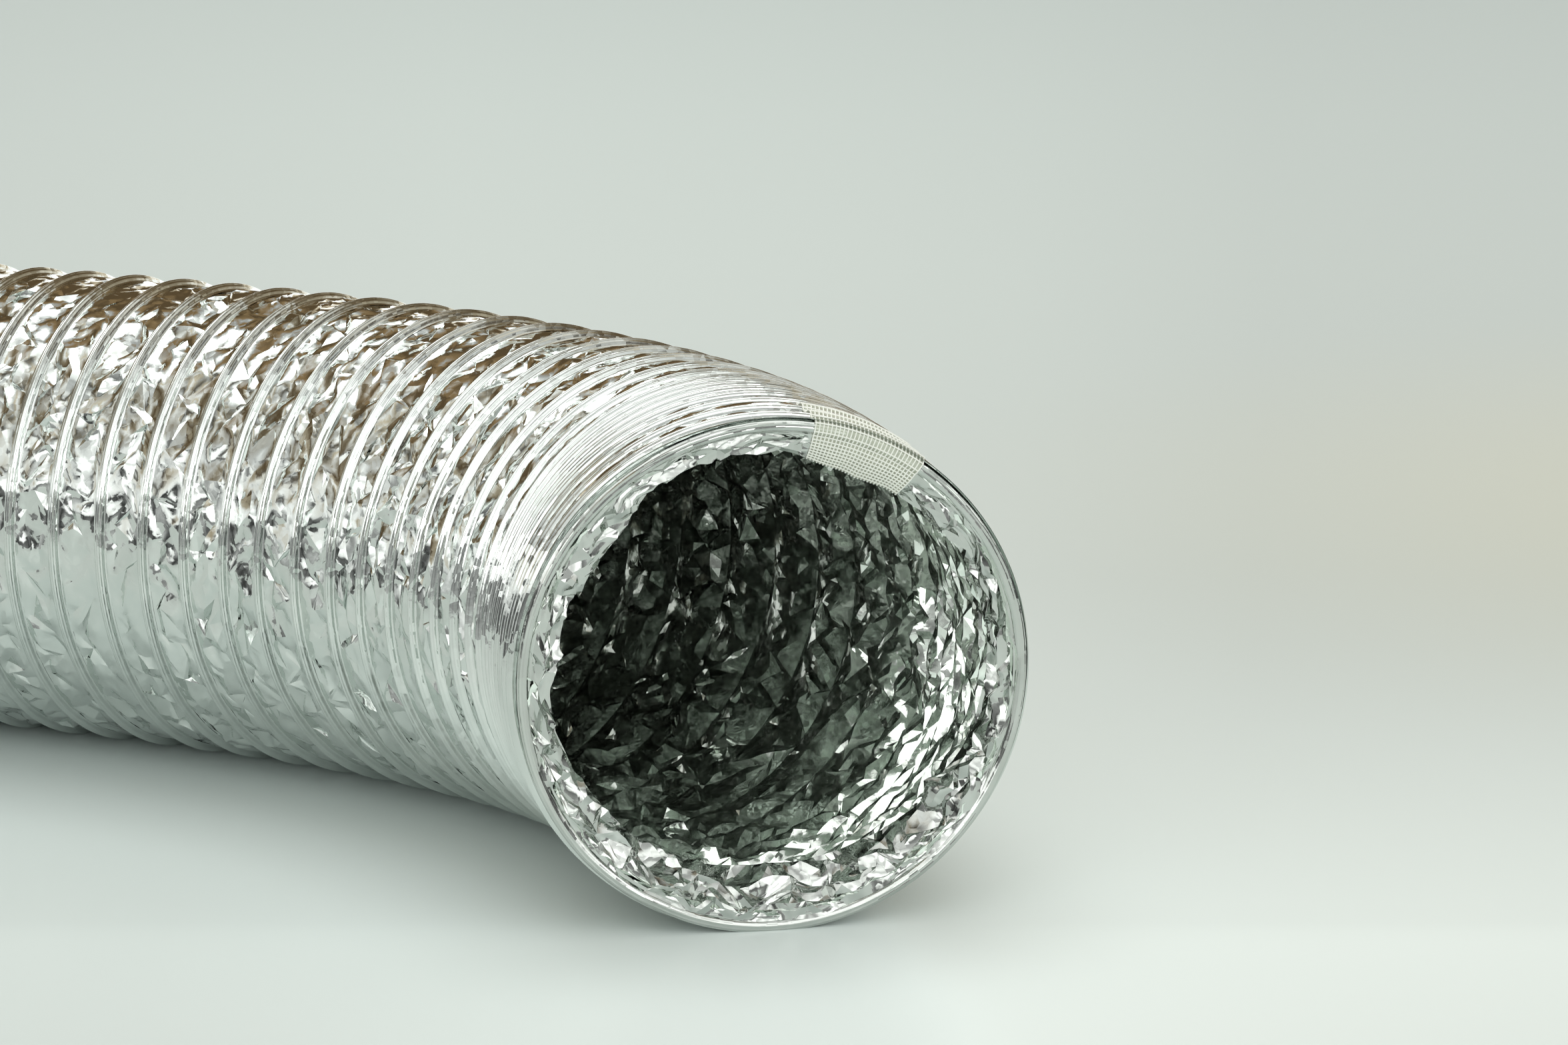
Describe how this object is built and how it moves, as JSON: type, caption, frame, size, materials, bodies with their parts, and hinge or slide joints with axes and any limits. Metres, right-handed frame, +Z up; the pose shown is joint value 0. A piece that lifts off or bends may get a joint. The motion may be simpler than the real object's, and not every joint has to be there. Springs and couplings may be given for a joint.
{
  "type": "flexible air duct",
  "caption": "Round flexible foil duct: two foil plies over a spring-wire helix, open at both ends, with a taped edge; it bends, lifts and stretches.",
  "frame": {"origin": "centre of the duct's open mouth, in the plane of its end", "axes": "+Y runs into the duct from the mouth, +Z is up and the duct lies on a floor below it, and the duct bends towards -X"},
  "size_m": [0.3264, 0.33, 0.1075],
  "materials": {
    "outer_foil": "gloss",
    "inner_foil": "gloss",
    "spring_wire": "satin",
    "scrim_tape": "satin"
  },
  "bodies": {
    "mouth_end": {"mouth_outer_ply": "outer_foil", "mouth_inner_ply": "inner_foil", "mouth_wire": "spring_wire", "mouth_tape": "scrim_tape"},
    "bend_1": {"bend_1_outer_ply": "outer_foil", "bend_1_inner_ply": "inner_foil", "bend_1_wire": "spring_wire", "bend_1_hoop": "outer_foil"},
    "stretch_1": {"stretch_1_outer_ply": "outer_foil", "stretch_1_inner_ply": "inner_foil", "stretch_1_wire": "spring_wire", "stretch_1_hoop": "outer_foil"},
    "lift_1": {"lift_1_outer_ply": "outer_foil", "lift_1_inner_ply": "inner_foil", "lift_1_wire": "spring_wire", "lift_1_hoop": "outer_foil"},
    "stretch_2": {"stretch_2_outer_ply": "outer_foil", "stretch_2_inner_ply": "inner_foil", "stretch_2_wire": "spring_wire", "stretch_2_hoop": "outer_foil"},
    "bend_2": {"bend_2_outer_ply": "outer_foil", "bend_2_inner_ply": "inner_foil", "bend_2_wire": "spring_wire", "bend_2_hoop": "outer_foil"},
    "stretch_3": {"stretch_3_outer_ply": "outer_foil", "stretch_3_inner_ply": "inner_foil", "stretch_3_wire": "spring_wire", "stretch_3_hoop": "outer_foil"},
    "lift_2": {"lift_2_outer_ply": "outer_foil", "lift_2_inner_ply": "inner_foil", "lift_2_wire": "spring_wire", "lift_2_hoop": "outer_foil"},
    "stretch_4": {"stretch_4_outer_ply": "outer_foil", "stretch_4_inner_ply": "inner_foil", "stretch_4_wire": "spring_wire", "stretch_4_hoop": "outer_foil"},
    "far_end": {"bend_3_outer_ply": "outer_foil", "bend_3_inner_ply": "inner_foil", "bend_3_wire": "spring_wire", "far_outer_ply": "outer_foil", "far_inner_ply": "inner_foil", "far_wire": "spring_wire", "far_tape": "scrim_tape"}
  },
  "joints": [
    {"name": "bend_1_hinge", "type": "hinge", "parent": "mouth_end", "child": "bend_1", "pos_m": [-0.00076, 0.03497, 0], "axis": [0, 0, 1], "range_deg": [-20, 5], "deforming": ["bend_1_outer_ply", "bend_1_inner_ply", "bend_1_wire"]},
    {"name": "stretch_1_slide", "type": "slide", "parent": "bend_1", "child": "stretch_1", "axis": [-0.3492, 0.937, 0], "range_m": [-0.02, 0.035], "deforming": ["stretch_1_outer_ply", "stretch_1_inner_ply", "stretch_1_wire"]},
    {"name": "lift_1_hinge", "type": "hinge", "parent": "stretch_1", "child": "lift_1", "pos_m": [-0.02778, 0.10924, 0], "axis": [0.8424, 0.5388, 0], "range_deg": [-17, 17], "deforming": ["lift_1_outer_ply", "lift_1_inner_ply", "lift_1_wire"]},
    {"name": "stretch_2_slide", "type": "slide", "parent": "lift_1", "child": "stretch_2", "axis": [-0.662, 0.7495, 0], "range_m": [-0.02, 0.035], "deforming": ["stretch_2_outer_ply", "stretch_2_inner_ply", "stretch_2_wire"]},
    {"name": "bend_2_hinge", "type": "hinge", "parent": "stretch_2", "child": "bend_2", "pos_m": [-0.07911, 0.16763, 0], "axis": [0, 0, 1], "range_deg": [-17, 15], "deforming": ["bend_2_outer_ply", "bend_2_inner_ply", "bend_2_wire"]},
    {"name": "stretch_3_slide", "type": "slide", "parent": "bend_2", "child": "stretch_3", "axis": [-0.7939, 0.6081, 0], "range_m": [-0.02, 0.035], "deforming": ["stretch_3_outer_ply", "stretch_3_inner_ply", "stretch_3_wire"]},
    {"name": "lift_2_hinge", "type": "hinge", "parent": "stretch_3", "child": "lift_2", "pos_m": [-0.14089, 0.21518, 0], "axis": [0.5765, 0.8171, 0], "range_deg": [-17, 17], "deforming": ["lift_2_outer_ply", "lift_2_inner_ply", "lift_2_wire"]},
    {"name": "stretch_4_slide", "type": "slide", "parent": "lift_2", "child": "stretch_4", "axis": [-0.8192, 0.5736, 0], "range_m": [-0.02, 0.035], "deforming": ["stretch_4_outer_ply", "stretch_4_inner_ply", "stretch_4_wire"]},
    {"name": "bend_3_hinge", "type": "hinge", "parent": "stretch_4", "child": "far_end", "pos_m": [-0.20484, 0.25985, 0], "axis": [0, 0, 1], "range_deg": [-17, 15], "deforming": ["bend_3_outer_ply", "bend_3_inner_ply", "bend_3_wire"]}
  ],
  "couplings": [
    {"joint": "stretch_2_slide", "follows": "stretch_1_slide", "ratio": 1},
    {"joint": "stretch_3_slide", "follows": "stretch_1_slide", "ratio": 1},
    {"joint": "stretch_4_slide", "follows": "stretch_1_slide", "ratio": 1}
  ]
}
